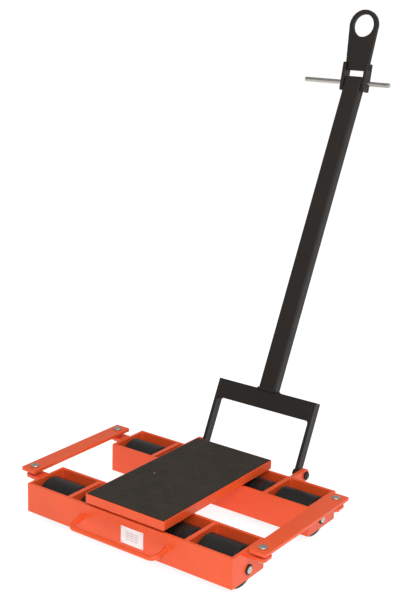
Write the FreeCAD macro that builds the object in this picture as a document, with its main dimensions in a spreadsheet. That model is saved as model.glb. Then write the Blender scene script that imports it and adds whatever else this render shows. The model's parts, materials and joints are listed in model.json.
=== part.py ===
import FreeCAD, Part
import os
import re
import Sketcher
from FreeCAD import Placement, Rotation, Vector

# A steerable machinery skate: two roller bogies under one load platform, side links that keep the
# bogies parallel, and a folding drawbar with a grip rod and a towing eye.
# +X is across the skate, +Y points to the drawbar and +Z is up. The origin is the middle of the
# load face, on top of the rubber pad. All lengths are in millimetres and angles in degrees.

os.makedirs("parts", exist_ok=True)
doc = FreeCAD.newDocument("machinery_skate")

SIZES = {
    # roller bogies
    "bogie_length": 620,
    "bogie_depth": 128,
    "bogie_height": 76,
    "bogie_spacing": 324,
    "side_wall": 8,
    "end_wall": 8,
    "divider_wall": 12,
    "divider_offset": 177,
    "hub_width": 80,
    "hub_thickness": 26,
    # rollers, bearings and axles
    "roller_radius": 51,
    "roller_side_gap": 7.5,
    "roller_chamfer": 4,
    "bearing_radius": 23.5,
    "bearing_width": 14,
    "bore_relief": 4,
    "axle_height": 24,
    "axle_radius": 10,
    "axle_head_radius": 12.5,
    "axle_head_thickness": 5,
    "axle_nut_radius": 17,
    "axle_nut_thickness": 12,
    # load platform
    "platform_width": 238,
    "platform_length": 454,
    "platform_thickness": 23.2,
    "platform_gap": 5.5,
    "platform_lip": 3,
    "platform_corner": 4,
    "platform_edge": 2,
    "rubber_recess": 6,
    "rubber_proud": 1.6,
    "rubber_gap": 0.4,
    # swivel of each bogie under the platform
    "kingpin_radius": 15,
    "kingpin_nut_radius": 22,
    "kingpin_nut_thickness": 14,
    "thrust_radius": 38,
    "thrust_gap": 0.2,
    # side links and their brackets
    "link_offset": 36,
    "link_width": 46,
    "link_end": 26,
    "link_thickness": 8,
    "link_lift": 6,
    "link_corner": 3,
    "link_bolt_radius": 7,
    "link_spacer_radius": 12,
    "bracket_thickness": 8,
    "bracket_drop": 4,
    "bracket_end": 16,
    "bracket_width": 38,
    "link_head_radius": 11,
    "link_head_thickness": 3.5,
    "link_nut_radius": 12,
    "link_nut_thickness": 7,
    "thread_stub": 2.5,
    # carrying handle and rating plate
    "handle_half_span": 129,
    "handle_height": 41,
    "handle_reach": 48,
    "handle_droop": 10,
    "handle_splay": 2,
    "handle_bend": 16,
    "handle_radius": 6,
    "plate_width": 67,
    "plate_height": 43,
    "plate_thickness": 1,
    "plate_offset": 26,
    "plate_level": 36,
    "rivet_inset": 4,
    "rivet_radius": 1.6,
    "rivet_rise": 0.9,
    # drawbar pivot
    "drawbar_shift": 9,
    "ear_thickness": 12,
    "ear_gap": 8,
    "ear_reach": 67,
    "ear_radius": 16,
    "ear_root": 22,
    "end_flat": 3,
    "pivot_height": 57.5,
    "pivot_bolt_radius": 7,
    "pivot_head_radius": 11,
    "pivot_head_thickness": 6,
    # drawbar
    "drawbar_angle": 65,
    "yoke_width": 308,
    "leg_thickness": 9,
    "leg_depth": 26,
    "crossbar_start": 137,
    "crossbar_height": 52,
    "crossbar_depth": 26,
    "tube_width": 52,
    "tube_depth": 30,
    "tube_wall": 3,
    "tube_corner": 4,
    "tube_end": 1089,
    "rod_station": 1075,
    "rod_radius": 6.5,
    "rod_length": 266,
    "rod_shift": 26,
    "rod_chamfer": 1.5,
    "cap_thickness": 4,
    # towing eye
    "eye_tilt": 13,
    "cheek_spacing": 58,
    "cheek_thickness": 9,
    "cheek_depth": 32,
    "cheek_below": 23,
    "cheek_above": 55,
    "cheek_corner": 4,
    "eye_thickness": 12,
    "eye_start": 34,
    "eye_centre": 158,
    "eye_radius": 43.5,
    "eye_bore": 31,
    "neck_width": 72,
    # clearances
    "running_gap": 0.06,
    "link_open_gap": 0.3,
    "hole_gap": 0.1,
    "side_play": 0.5,
}

sheet = doc.addObject("Spreadsheet::Sheet", "dims")
for row, (alias, number) in enumerate(SIZES.items(), start=1):
    sheet.set(f"A{row}", alias)
    sheet.set(f"B{row}", str(number))
    sheet.setAlias(f"B{row}", alias)
doc.recompute()

# Levels and stations that several pieces share, written as formulas of the driving dimensions.
PLATFORM_TOP = "(-rubber_proud)"
PLATFORM_BOTTOM = f"({PLATFORM_TOP} - platform_thickness)"
BOX_TOP = f"({PLATFORM_BOTTOM} - platform_gap)"
BOX_BOTTOM = f"({BOX_TOP} - bogie_height)"
AXLE_LEVEL = f"({BOX_BOTTOM} + axle_height)"
BRACKET_TOP = f"({BOX_TOP} - bracket_drop)"
BRACKET_BOTTOM = f"({BRACKET_TOP} - bracket_thickness)"
LINK_BOTTOM = f"({BOX_TOP} + link_lift)"
LINK_TOP = f"({LINK_BOTTOM} + link_thickness)"
HALF_LENGTH = "(bogie_length / 2)"
HALF_DEPTH = "(bogie_depth / 2)"
LINK_REACH = f"({HALF_LENGTH} + link_offset)"
DIVIDER_OUTER = "(divider_offset + divider_wall / 2)"
DIVIDER_INNER = "(divider_offset - divider_wall / 2)"
HUB_HALF = "(hub_width / 2)"
HUB_WALL = f"({HUB_HALF} + divider_wall)"
REAR_FACE = f"(bogie_spacing / 2 + {HALF_DEPTH})"
FRONT_FACE = f"(-{REAR_FACE})"
PIVOT_Y = f"({REAR_FACE} + ear_reach)"
PIVOT_Z = f"({BOX_BOTTOM} + pivot_height)"
YOKE_HALF = "(yoke_width / 2)"
EAR_INNER = f"({YOKE_HALF} + ear_gap)"
EAR_OUTER = f"({EAR_INNER} + ear_thickness)"
CHEEK_INNER = "(cheek_spacing / 2)"
CHEEK_OUTER = f"({CHEEK_INNER} + cheek_thickness)"
BOGIES = {"front": -1, "rear": 1}
SIDES = {"left": -1, "right": 1}
parts = []


def bound(text):
    """The formula with each driving dimension's name pointing at its cell."""
    return re.sub(r"[a-z]\w*", lambda m: f"dims.{m.group()}" if m.group() in SIZES else m.group(), text)


def value(text):
    """The formula's present value as a number."""
    return float(sheet.evalExpression(bound(text)))


def bind(thing, **formulas):
    for prop, text in formulas.items():
        thing.setExpression(prop.replace("__", "."), bound(text))


def put(thing, x="0", y="0", z="0"):
    bind(thing, Placement__Base__x=x, Placement__Base__y=y, Placement__Base__z=z)
    return thing


def sided(low, high, side):
    """A stretch of X, mirrored for the left side."""
    return (low, high) if side > 0 else (f"-{high}", f"-{low}")


def named(thing, label):
    """Marks a finished sub-part, whose label names its file."""
    thing.Label = label
    parts.append(thing)
    return thing


# ---------------------------------------------------------------- primitives bound to the sheet
def block(x, y, z):
    """A box between a low and a high formula on each axis."""
    piece = doc.addObject("Part::Box", "block")
    bind(piece, Length=f"({x[1]}) - ({x[0]})", Width=f"({y[1]}) - ({y[0]})", Height=f"({z[1]}) - ({z[0]})")
    return put(piece, x[0], y[0], z[0])


TURNS = {
    "x": Rotation(Vector(0, 1, 0), 90),
    "y": Rotation(Vector(1, 0, 0), -90),
    "z": Rotation(),
}


def turned(piece, axis, start, centre):
    """Points a piece's own Z along an axis, from start, with its other two coordinates at centre."""
    piece.Placement = Placement(Vector(), TURNS[axis])
    places = dict(zip([a for a in "xyz" if a != axis], centre))
    places[axis] = start
    return put(piece, **places)


def cylinder(axis, radius, span, centre):
    piece = doc.addObject("Part::Cylinder", "cylinder")
    bind(piece, Radius=radius, Height=f"({span[1]}) - ({span[0]})")
    return turned(piece, axis, span[0], centre)


def hexagon(axis, radius, span, centre):
    piece = doc.addObject("Part::Prism", "hexagon")
    piece.Polygon = 6
    bind(piece, Circumradius=radius, Height=f"({span[1]}) - ({span[0]})")
    return turned(piece, axis, span[0], centre)


def fused(*pieces):
    joined = doc.addObject("Part::MultiFuse", "joined")
    joined.Shapes = list(pieces)
    joined.Refine = True
    return joined


def cut(base, *tools):
    result = doc.addObject("Part::Cut", "cut")
    result.Base = base
    result.Tool = tools[0] if len(tools) == 1 else fused(*tools)
    return result


def group(pieces):
    """Several separate solids that share one node."""
    held = doc.addObject("Part::Compound", "group")
    held.Links = list(pieces)
    return held


# ---------------------------------------------------------------- sketched bodies
def new_body(name):
    return doc.addObject("PartDesign::Body", name)


def new_sketch(body, plane, offset="0"):
    sketch = body.newObject("Sketcher::SketchObject", "sketch")
    origin = next(o for o in body.Origin.OriginFeatures if o.Role == plane)
    sketch.AttachmentSupport = [(origin, "")]
    sketch.MapMode = "FlatFace"
    bind(sketch, AttachmentOffset__Base__z=offset)
    return sketch


def fix(sketch, geometry, point, u, v):
    """Holds a point of a sketch at two formulas, measured from the sketch's origin."""
    for kind, text in (("DistanceX", u), ("DistanceY", v)):
        at = sketch.addConstraint(Sketcher.Constraint(kind, -1, 1, geometry, point, value(text)))
        sketch.setExpression(f"Constraints[{at}]", bound(text))


def outline(sketch, corners):
    """A closed polygon through corners given as formulas."""
    spots = [Vector(value(u), value(v), 0) for u, v in corners]
    count = len(corners)
    for i in range(count):
        sketch.addGeometry(Part.LineSegment(spots[i], spots[(i + 1) % count]))
    for i in range(count):
        sketch.addConstraint(Sketcher.Constraint("Coincident", i, 2, (i + 1) % count, 1))
    for i, (u, v) in enumerate(corners):
        fix(sketch, i, 1, u, v)


def rectangle(sketch, u, v):
    outline(sketch, [(u[0], v[0]), (u[1], v[0]), (u[1], v[1]), (u[0], v[1])])


def circle(sketch, u, v, radius):
    spot = Vector(value(u), value(v), 0)
    at = sketch.addGeometry(Part.Circle(spot, Vector(0, 0, 1), value(radius)))
    fix(sketch, at, 3, u, v)
    size = sketch.addConstraint(Sketcher.Constraint("Radius", at, value(radius)))
    sketch.setExpression(f"Constraints[{size}]", bound(radius))


def pad(body, sketch, length):
    made = body.newObject("PartDesign::Pad", "pad")
    made.Profile = sketch
    bind(made, Length=length)
    sketch.Visibility = False
    doc.recompute()
    return made


def pocket(body, sketch, length):
    """Cuts to the sketch's low side and checks that something went."""
    before = body.Shape.Volume
    made = body.newObject("PartDesign::Pocket", "pocket")
    made.Profile = sketch
    bind(made, Length=length)
    doc.recompute()
    if body.Shape.Volume >= before:
        made.Reversed = True
        doc.recompute()
    if body.Shape.Volume >= before:
        raise RuntimeError(f"{body.Name}: a pocket cut nothing")
    return made


def revolved(body, profile):
    """Turns a half section about its sketch's horizontal axis."""
    made = body.newObject("PartDesign::Revolution", "revolution")
    made.Profile = profile
    made.ReferenceAxis = (profile, ["H_Axis"])
    made.Angle = 360
    doc.recompute()
    return made


def edges_where(shape, test):
    return [f"Edge{i}" for i, edge in enumerate(shape.Edges, start=1) if test(edge)]


def runs_along(edge, direction):
    first, last = edge.Vertexes[0].Point, edge.Vertexes[-1].Point
    return edge.Curve.TypeId == "Part::GeomLine" and (last - first).cross(direction).Length < 1e-6


def dressed(body, kind, names, size):
    """A fillet or chamfer on the named edges of the body's tip."""
    base = body.Tip
    made = body.newObject(f"PartDesign::{kind}", kind.lower())
    made.Base = (base, names)
    bind(made, **{"Radius" if kind == "Fillet" else "Size": size})
    body.Tip = made
    doc.recompute()
    return made


def plate(name, plane, draw, offset, thickness):
    """A flat plate whose outline and holes are drawn by a function on one plane."""
    body = new_body(name)
    sketch = new_sketch(body, plane, offset)
    draw(sketch)
    pad(body, sketch, thickness)
    return body


# ---------------------------------------------------------------- load platform
def load_platform():
    body = new_body("platform_body")
    base = new_sketch(body, "XY_Plane", PLATFORM_BOTTOM)
    rectangle(base, ("-platform_width / 2", "platform_width / 2"),
              ("-platform_length / 2", "platform_length / 2"))
    pad(body, base, "platform_thickness")
    up = Vector(0, 0, 1)
    dressed(body, "Fillet", edges_where(body.Shape, lambda e: runs_along(e, up)), "platform_corner")
    low = value(PLATFORM_BOTTOM)
    rim = edges_where(body.Shape, lambda e: abs(e.BoundBox.ZMax - low) < 1e-6)
    dressed(body, "Fillet", rim, "platform_edge")
    well = new_sketch(body, "XY_Plane", PLATFORM_TOP)
    rectangle(well, ("-platform_width / 2 + platform_lip", "platform_width / 2 - platform_lip"),
              ("-platform_length / 2 + platform_lip", "platform_length / 2 - platform_lip"))
    pocket(body, well, "rubber_recess")
    return body


def rubber_pad():
    body = new_body("rubber_body")
    sheet_outline = new_sketch(body, "XY_Plane", f"{PLATFORM_TOP} - rubber_recess")
    inset = "(platform_lip + rubber_gap)"
    rectangle(sheet_outline, (f"-platform_width / 2 + {inset}", f"platform_width / 2 - {inset}"),
              (f"-platform_length / 2 + {inset}", f"platform_length / 2 - {inset}"))
    pad(body, sheet_outline, "rubber_recess + rubber_proud")
    return body


named(load_platform(), "load_platform")
named(rubber_pad(), "rubber_pad")


# ---------------------------------------------------------------- swivel under the platform
def bogie_y(place):
    return f"({place} * bogie_spacing / 2)"


NUT_TOP = f"({BOX_TOP} - hub_thickness - side_play)"
NUT_BOTTOM = f"({NUT_TOP} - kingpin_nut_thickness)"


def kingpin(place):
    """A pin welded under the platform, which a bogie turns on."""
    return cylinder("z", "kingpin_radius", (NUT_BOTTOM, PLATFORM_BOTTOM), ("0", bogie_y(place)))


def kingpin_nut(place):
    centre = ("0", bogie_y(place))
    nut = hexagon("z", "kingpin_nut_radius", (NUT_BOTTOM, NUT_TOP), centre)
    return cut(nut, cylinder("z", "kingpin_radius", (NUT_BOTTOM, NUT_TOP), centre))


named(group([kingpin(place) for place in BOGIES.values()]), "kingpins")
named(group([kingpin_nut(place) for place in BOGIES.values()]), "kingpin_nuts")


# ---------------------------------------------------------------- one roller bogie
def side_plate(place, outward):
    """A long wall of a bogie's box: outward is 1 on the side with the higher y."""
    face = f"({bogie_y(place)} + {outward} * {HALF_DEPTH})"
    inside = f"({face} - {outward} * side_wall)"
    y = (inside, face) if outward > 0 else (face, inside)
    return block((f"-{HALF_LENGTH}", HALF_LENGTH), y, (BOX_BOTTOM, BOX_TOP))


def cross_plate(place, low, high):
    """A wall across the box, from one long wall to the other, with the axle's hole."""
    inner = f"({HALF_DEPTH} - side_wall)"
    y = (f"({bogie_y(place)} - {inner})", f"({bogie_y(place)} + {inner})")
    wall = block((low, high), y, (BOX_BOTTOM, BOX_TOP))
    return cut(wall, cylinder("x", "axle_radius + hole_gap", (low, high), (bogie_y(place), AXLE_LEVEL)))


def end_plates(place):
    low = f"({HALF_LENGTH} - end_wall)"
    return group(cross_plate(place, *sided(low, HALF_LENGTH, side)) for side in SIDES.values())


def dividers(place):
    return group(cross_plate(place, *sided(low, high, side))
                 for low, high in ((DIVIDER_INNER, DIVIDER_OUTER), (HUB_HALF, HUB_WALL))
                 for side in SIDES.values())


def hub_block(place):
    """The thick plate between the middle dividers, bored for the kingpin."""
    inner = f"({HALF_DEPTH} - side_wall)"
    y = (f"({bogie_y(place)} - {inner})", f"({bogie_y(place)} + {inner})")
    span = (f"({BOX_TOP} - hub_thickness)", BOX_TOP)
    slab = block((f"-{HUB_HALF}", HUB_HALF), y, span)
    return cut(slab, cylinder("z", "kingpin_radius + running_gap", span, ("0", bogie_y(place))))


def thrust_disc(place):
    """The ring that carries the platform on the bogie and slides as the bogie turns."""
    span = (BOX_TOP, f"{PLATFORM_BOTTOM} - thrust_gap")
    centre = ("0", bogie_y(place))
    disc = cylinder("z", "thrust_radius", span, centre)
    return cut(disc, cylinder("z", "kingpin_radius + side_play", span, centre))


def link_bracket(place, side):
    """The tab on an end wall that a side link is bolted to."""
    def draw(sketch):
        y = bogie_y(place)
        reach = sided(HALF_LENGTH, f"({LINK_REACH} + bracket_end)", side)
        rectangle(sketch, reach, (f"{y} - bracket_width / 2", f"{y} + bracket_width / 2"))
        circle(sketch, f"{side} * {LINK_REACH}", y, "link_bolt_radius + hole_gap")
    body = plate("bracket_body", "XY_Plane", draw, BRACKET_BOTTOM, "bracket_thickness")
    far = value(f"{side} * ({LINK_REACH} + bracket_end)")
    up = Vector(0, 0, 1)
    corners = edges_where(body.Shape, lambda e: runs_along(e, up) and abs(e.BoundBox.XMin - far) < 1e-3)
    dressed(body, "Chamfer", corners, "2 * link_corner")
    return body


def link_bolt(place, side):
    """A bolt with a low round head, standing in a bracket."""
    centre = (f"{side} * {LINK_REACH}", bogie_y(place))
    seat = f"({LINK_TOP} + side_play)"
    tail = f"({BRACKET_BOTTOM} - link_nut_thickness - thread_stub)"
    return fused(cylinder("z", "link_bolt_radius", (tail, seat), centre),
                 cylinder("z", "link_head_radius", (seat, f"({seat} + link_head_thickness)"), centre))


def link_nut(place, side):
    centre = (f"{side} * {LINK_REACH}", bogie_y(place))
    span = (f"({BRACKET_BOTTOM} - link_nut_thickness)", BRACKET_BOTTOM)
    return cut(hexagon("z", "link_nut_radius", span, centre),
               cylinder("z", "link_bolt_radius", span, centre))


def link_spacer(place, side):
    """The sleeve that holds a link above its bracket."""
    centre = (f"{side} * {LINK_REACH}", bogie_y(place))
    span = (BRACKET_TOP, f"({LINK_BOTTOM} - side_play)")
    return cut(cylinder("z", "link_spacer_radius", span, centre),
               cylinder("z", "link_bolt_radius", span, centre))


def axle(place, side):
    """A headed pin through the end wall, both rollers and both dividers of one side."""
    centre = (bogie_y(place), AXLE_LEVEL)
    shank = sided(f"({HUB_HALF} - axle_nut_thickness)", HALF_LENGTH, side)
    head = sided(HALF_LENGTH, f"({HALF_LENGTH} + axle_head_thickness)", side)
    return fused(cylinder("x", "axle_radius", shank, centre),
                 cylinder("x", "axle_head_radius", head, centre))


def axle_nut(place, side):
    centre = (bogie_y(place), AXLE_LEVEL)
    span = sided(f"({HUB_HALF} - axle_nut_thickness)", HUB_HALF, side)
    return cut(hexagon("x", "axle_nut_radius", span, centre),
               cylinder("x", "axle_radius", span, centre))


for bogie, place in BOGIES.items():
    named(side_plate(place, 1), f"{bogie}_bogie_back_wall")
    named(side_plate(place, -1), f"{bogie}_bogie_front_wall")
    named(end_plates(place), f"{bogie}_bogie_end_walls")
    named(dividers(place), f"{bogie}_bogie_dividers")
    named(hub_block(place), f"{bogie}_hub_block")
    named(thrust_disc(place), f"{bogie}_thrust_disc")
    named(group(link_bracket(place, side) for side in SIDES.values()), f"{bogie}_link_brackets")
    named(group(link_bolt(place, side) for side in SIDES.values()), f"{bogie}_link_bolts")
    named(group(link_nut(place, side) for side in SIDES.values()), f"{bogie}_link_nuts")
    named(group(link_spacer(place, side) for side in SIDES.values()), f"{bogie}_link_spacers")
    named(group(axle(place, side) for side in SIDES.values()), f"{bogie}_axles")
    named(group(axle_nut(place, side) for side in SIDES.values()), f"{bogie}_axle_nuts")


# ---------------------------------------------------------------- rollers and their bearings
OUTER_BAY = (DIVIDER_OUTER, f"({HALF_LENGTH} - end_wall)")
INNER_BAY = (HUB_WALL, DIVIDER_INNER)


def roller_ends(bay, side):
    return sided(f"({bay[0]} + roller_side_gap)", f"({bay[1]} - roller_side_gap)", side)


def roller(place, side, bay):
    """A solid roller, turned with chamfered rims, bored through and counterbored for its bearings."""
    low, high = roller_ends(bay, side)
    body = new_body("roller_body")
    profile = new_sketch(body, "XY_Plane")
    bore = "(axle_radius + bore_relief)"
    outline(profile, [
        (low, "bearing_radius"),
        (low, "roller_radius - roller_chamfer"),
        (f"{low} + roller_chamfer", "roller_radius"),
        (f"{high} - roller_chamfer", "roller_radius"),
        (high, "roller_radius - roller_chamfer"),
        (high, "bearing_radius"),
        (f"{high} - bearing_width", "bearing_radius"),
        (f"{high} - bearing_width", bore),
        (f"{low} + bearing_width", bore),
        (f"{low} + bearing_width", "bearing_radius"),
    ])
    revolved(body, profile)
    return put(body, y=bogie_y(place), z=AXLE_LEVEL)


def bearing_pair(place, side, bay):
    low, high = roller_ends(bay, side)
    centre = (bogie_y(place), AXLE_LEVEL)
    rings = []
    for span in ((low, f"({low} + bearing_width)"), (f"({high} - bearing_width)", high)):
        ring = cylinder("x", "bearing_radius", span, centre)
        rings.append(cut(ring, cylinder("x", "axle_radius + running_gap", span, centre)))
    return group(rings)


for bogie, place in BOGIES.items():
    for hand, side in SIDES.items():
        for bay_name, bay in (("outer", OUTER_BAY), ("inner", INNER_BAY)):
            named(roller(place, side, bay), f"{bogie}_{hand}_{bay_name}_roller")
            named(bearing_pair(place, side, bay), f"{bogie}_{hand}_{bay_name}_bearings")


# ---------------------------------------------------------------- side links
def side_link(side):
    """A flat bar over both bogies' brackets. Its front hole is the looser one."""
    half = "(link_width / 2)"
    ends = "(bogie_spacing / 2 + link_end)"

    def draw(sketch):
        x = f"{side} * {LINK_REACH}"
        rectangle(sketch, (f"{x} - {half}", f"{x} + {half}"), (f"-{ends}", ends))
        circle(sketch, x, bogie_y(1), "link_bolt_radius + running_gap")
        circle(sketch, x, bogie_y(-1), "link_bolt_radius + link_open_gap")
    body = plate("link_body", "XY_Plane", draw, LINK_BOTTOM, "link_thickness")
    up = Vector(0, 0, 1)
    dressed(body, "Chamfer", edges_where(body.Shape, lambda e: runs_along(e, up)), "link_corner")
    return body


for hand, side in SIDES.items():
    named(side_link(side), f"{hand}_link")


# ---------------------------------------------------------------- carrying handle and rating plate
def handle_path(sketch):
    """A U that starts inside the wall, leans in a little and bends round into the grip."""
    lean = value("handle_splay * pi / 180")
    bend = value("handle_bend")
    corner = Vector(value("-handle_half_span + handle_reach * tan(handle_splay * 1 deg)"),
                    value("-handle_reach"), 0)
    down = Vector(value("sin(handle_splay * 1 deg)"), -value("cos(handle_splay * 1 deg)"), 0)
    across = Vector(1, 0, 0)
    run = bend * value("tan((90 - handle_splay) / 2 * 1 deg)")
    leg_end, grip_start = corner - down * run, corner + across * run
    centre = grip_start + Vector(0, bend, 0)
    middle = centre + (corner - centre).normalize() * bend
    foot = Vector(value("-handle_half_span"), value("handle_radius"), 0)

    def flip(point):
        return Vector(-point.x, point.y, 0)
    sketch.addGeometry(Part.LineSegment(foot, leg_end))
    sketch.addGeometry(Part.Arc(leg_end, middle, grip_start))
    sketch.addGeometry(Part.LineSegment(grip_start, flip(grip_start)))
    sketch.addGeometry(Part.Arc(flip(grip_start), flip(middle), flip(leg_end)))
    sketch.addGeometry(Part.LineSegment(flip(leg_end), flip(foot)))
    for at in range(4):
        sketch.addConstraint(Sketcher.Constraint("Tangent", at, 2, at + 1, 1))
    sketch.addConstraint(Sketcher.Constraint("Horizontal", 2))
    fix(sketch, 0, 1, "-handle_half_span", "handle_radius")
    fix(sketch, 4, 2, "handle_half_span", "handle_radius")
    for geometry in (1, 3):
        at = sketch.addConstraint(Sketcher.Constraint("Radius", geometry, bend))
        sketch.setExpression(f"Constraints[{at}]", bound("handle_bend"))
    at = sketch.addConstraint(Sketcher.Constraint("DistanceY", -1, 1, 2, 1, value("-handle_reach")))
    sketch.setExpression(f"Constraints[{at}]", bound("-handle_reach"))
    at = sketch.addConstraint(Sketcher.Constraint("Angle", -2, 1, 0, 2, lean))
    sketch.setExpression(f"Constraints[{at}]", bound("handle_splay * 1 deg"))


def carry_handle():
    """A bent bar welded to the front wall, drooping a little towards its grip."""
    body = new_body("handle_body")
    path = new_sketch(body, "XY_Plane")
    handle_path(path)
    ring = new_sketch(body, "XZ_Plane", "-handle_radius")
    circle(ring, "-handle_half_span", "0", "handle_radius")
    doc.recompute()
    pipe = body.newObject("PartDesign::AdditivePipe", "pipe")
    pipe.Profile = ring
    pipe.Spine = path
    doc.recompute()
    body.Placement = Placement(Vector(), Rotation(Vector(1, 0, 0), 1))
    bind(body, Placement__Rotation__Angle="handle_droop")
    put(body, y=FRONT_FACE, z=f"({BOX_BOTTOM} + handle_height)")
    wall = block((f"-{HALF_LENGTH}", HALF_LENGTH), (FRONT_FACE, f"({FRONT_FACE} + bogie_depth)"),
                 (BOX_BOTTOM, BOX_TOP))
    return cut(body, wall)


PLATE_X = ("(plate_offset - plate_width / 2)", "(plate_offset + plate_width / 2)")
PLATE_Z = (f"({BOX_BOTTOM} + plate_level - plate_height / 2)",
           f"({BOX_BOTTOM} + plate_level + plate_height / 2)")


def rating_plate():
    return block(PLATE_X, (f"({FRONT_FACE} - plate_thickness)", FRONT_FACE), PLATE_Z)


def plate_rivets():
    face = f"({FRONT_FACE} - plate_thickness)"
    spots = [(f"({x} {u} rivet_inset)", f"({z} {v} rivet_inset)")
             for x, u in zip(PLATE_X, "+-") for z, v in zip(PLATE_Z, "+-")]
    return group(cylinder("y", "rivet_radius", (f"({face} - rivet_rise)", face), spot) for spot in spots)


named(carry_handle(), "carry_handle")
named(rating_plate(), "rating_plate")
named(plate_rivets(), "rating_plate_rivets")


# ---------------------------------------------------------------- drawbar pivot on the rear bogie
# The ears stand either side of the drawbar, whose own middle is a little right of the skate's.
def beside_drawbar(low, high, side):
    """A stretch of X measured from the drawbar's middle, mirrored for the left side."""
    return tuple(f"(drawbar_shift + {end})" for end in sided(low, high, side))


def drawbar_ear(side):
    """A plate welded to the rear wall, rounded about the pivot bolt."""
    def draw(sketch):
        tip = f"({PIVOT_Y} + ear_radius)"
        outline(sketch, [(REAR_FACE, f"{PIVOT_Z} - ear_root"), (tip, f"{PIVOT_Z} - ear_radius"),
                         (tip, f"{PIVOT_Z} + ear_radius"), (REAR_FACE, f"{PIVOT_Z} + ear_radius")])
        circle(sketch, PIVOT_Y, PIVOT_Z, "pivot_bolt_radius + hole_gap")
    start = beside_drawbar(EAR_INNER, EAR_OUTER, side)[0]
    body = plate("ear_body", "YZ_Plane", draw, start, "ear_thickness")
    tip = value(f"{PIVOT_Y} + ear_radius")
    across = Vector(1, 0, 0)
    corners = edges_where(body.Shape, lambda e: runs_along(e, across) and abs(e.BoundBox.YMin - tip) < 1e-3)
    dressed(body, "Fillet", corners, "ear_radius - end_flat")
    return body


PIVOT = (PIVOT_Y, PIVOT_Z)
LEG_INNER = f"({YOKE_HALF} - leg_thickness)"
NUT_FACE = f"({LEG_INNER} - side_play)"
BOLT_TAIL = f"({NUT_FACE} - pivot_head_thickness)"


def pivot_bolt(side):
    shank = beside_drawbar(BOLT_TAIL, EAR_OUTER, side)
    head = beside_drawbar(EAR_OUTER, f"({EAR_OUTER} + pivot_head_thickness)", side)
    return fused(cylinder("x", "pivot_bolt_radius", shank, PIVOT),
                 hexagon("x", "pivot_head_radius", head, PIVOT))


def pivot_nut(side):
    span = beside_drawbar(BOLT_TAIL, NUT_FACE, side)
    return cut(hexagon("x", "pivot_head_radius", span, PIVOT),
               cylinder("x", "pivot_bolt_radius", span, PIVOT))


def pivot_spacer(side):
    """The sleeve between an ear and the yoke's leg."""
    span = beside_drawbar(f"({YOKE_HALF} + side_play)", EAR_INNER, side)
    return cut(cylinder("x", "pivot_head_radius", span, PIVOT),
               cylinder("x", "pivot_bolt_radius", span, PIVOT))


named(group(drawbar_ear(side) for side in SIDES.values()), "drawbar_ears")
named(group(pivot_bolt(side) for side in SIDES.values()), "drawbar_pivot_bolts")
named(group(pivot_nut(side) for side in SIDES.values()), "drawbar_pivot_nuts")
named(group(pivot_spacer(side) for side in SIDES.values()), "drawbar_pivot_spacers")


# ---------------------------------------------------------------- drawbar
# Its pieces are drawn standing upright on the pivot, and then leaned back together.
def leaned(piece, y, z, lean):
    """Stands a piece drawn about its own origin at a pivot, leaning towards +Y."""
    piece.Placement = Placement(Vector(), Rotation(Vector(-1, 0, 0), 1))
    bind(piece, Placement__Rotation__Angle=lean)
    return put(piece, "drawbar_shift", y, z)


def on_drawbar(piece):
    return leaned(piece, PIVOT_Y, PIVOT_Z, "90 - drawbar_angle")


CROSSBAR_TOP = "(crossbar_start + crossbar_height)"
TUBE_HALF = "(tube_width / 2)"
ROD_CENTRE = ("0", "rod_station")


def yoke_leg(side):
    def draw(sketch):
        half = "(leg_depth / 2)"
        rectangle(sketch, (f"-{half}", half), (f"-{half}", CROSSBAR_TOP))
        circle(sketch, "0", "0", "pivot_bolt_radius + running_gap")
    start = LEG_INNER if side > 0 else f"-{YOKE_HALF}"
    body = plate("leg_body", "YZ_Plane", draw, start, "leg_thickness")
    low = value("-leg_depth / 2")
    across = Vector(1, 0, 0)
    corners = edges_where(body.Shape, lambda e: runs_along(e, across) and abs(e.BoundBox.ZMax - low) < 1e-3)
    dressed(body, "Fillet", corners, "leg_depth / 2 - end_flat")
    return body


def hollow_bar(name, plane, half_u, half_v, offset, length):
    """A rounded rectangular tube, square to a plane."""
    def draw(sketch):
        rectangle(sketch, (f"-{half_u}", half_u), (f"-{half_v}", half_v))
        inner_u, inner_v = f"({half_u} - tube_wall)", f"({half_v} - tube_wall)"
        spots = [Vector(value(u), value(v), 0) for u, v in (
            (f"-{inner_u}", f"-{inner_v}"), (inner_u, f"-{inner_v}"),
            (inner_u, inner_v), (f"-{inner_u}", inner_v))]
        for at in range(4):
            sketch.addGeometry(Part.LineSegment(spots[at], spots[(at + 1) % 4]))
        for at in range(4):
            sketch.addConstraint(Sketcher.Constraint("Coincident", 4 + at, 2, 4 + (at + 1) % 4, 1))
        fix(sketch, 4, 1, f"-{inner_u}", f"-{inner_v}")
        fix(sketch, 5, 1, inner_u, f"-{inner_v}")
        fix(sketch, 6, 1, inner_u, inner_v)
        fix(sketch, 7, 1, f"-{inner_u}", inner_v)
    return plate(name, plane, draw, offset, length)


def round_outer_edges(body, direction, reach):
    """Rounds a bar's four outermost long edges, which lie further than reach from its axis."""
    def outermost(edge):
        middle = edge.CenterOfMass
        off_axis = middle - direction * middle.dot(direction)
        return runs_along(edge, direction) and off_axis.Length > reach
    dressed(body, "Fillet", edges_where(body.Shape, outermost), "tube_corner")


def yoke_crossbar():
    """A hollow bar between the tops of the legs."""
    half_height = "(crossbar_height / 2)"
    body = hollow_bar("crossbar_body", "YZ_Plane", "(crossbar_depth / 2)", half_height,
                      f"-{LEG_INNER}", f"2 * {LEG_INNER}")
    wall_middle = Vector(value("(crossbar_depth - tube_wall) / 2"),
                         value("(crossbar_height - tube_wall) / 2"), 0)
    round_outer_edges(body, Vector(1, 0, 0), wall_middle.Length)
    put(body, z=f"(crossbar_start + {half_height})")
    return group([body])


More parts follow.
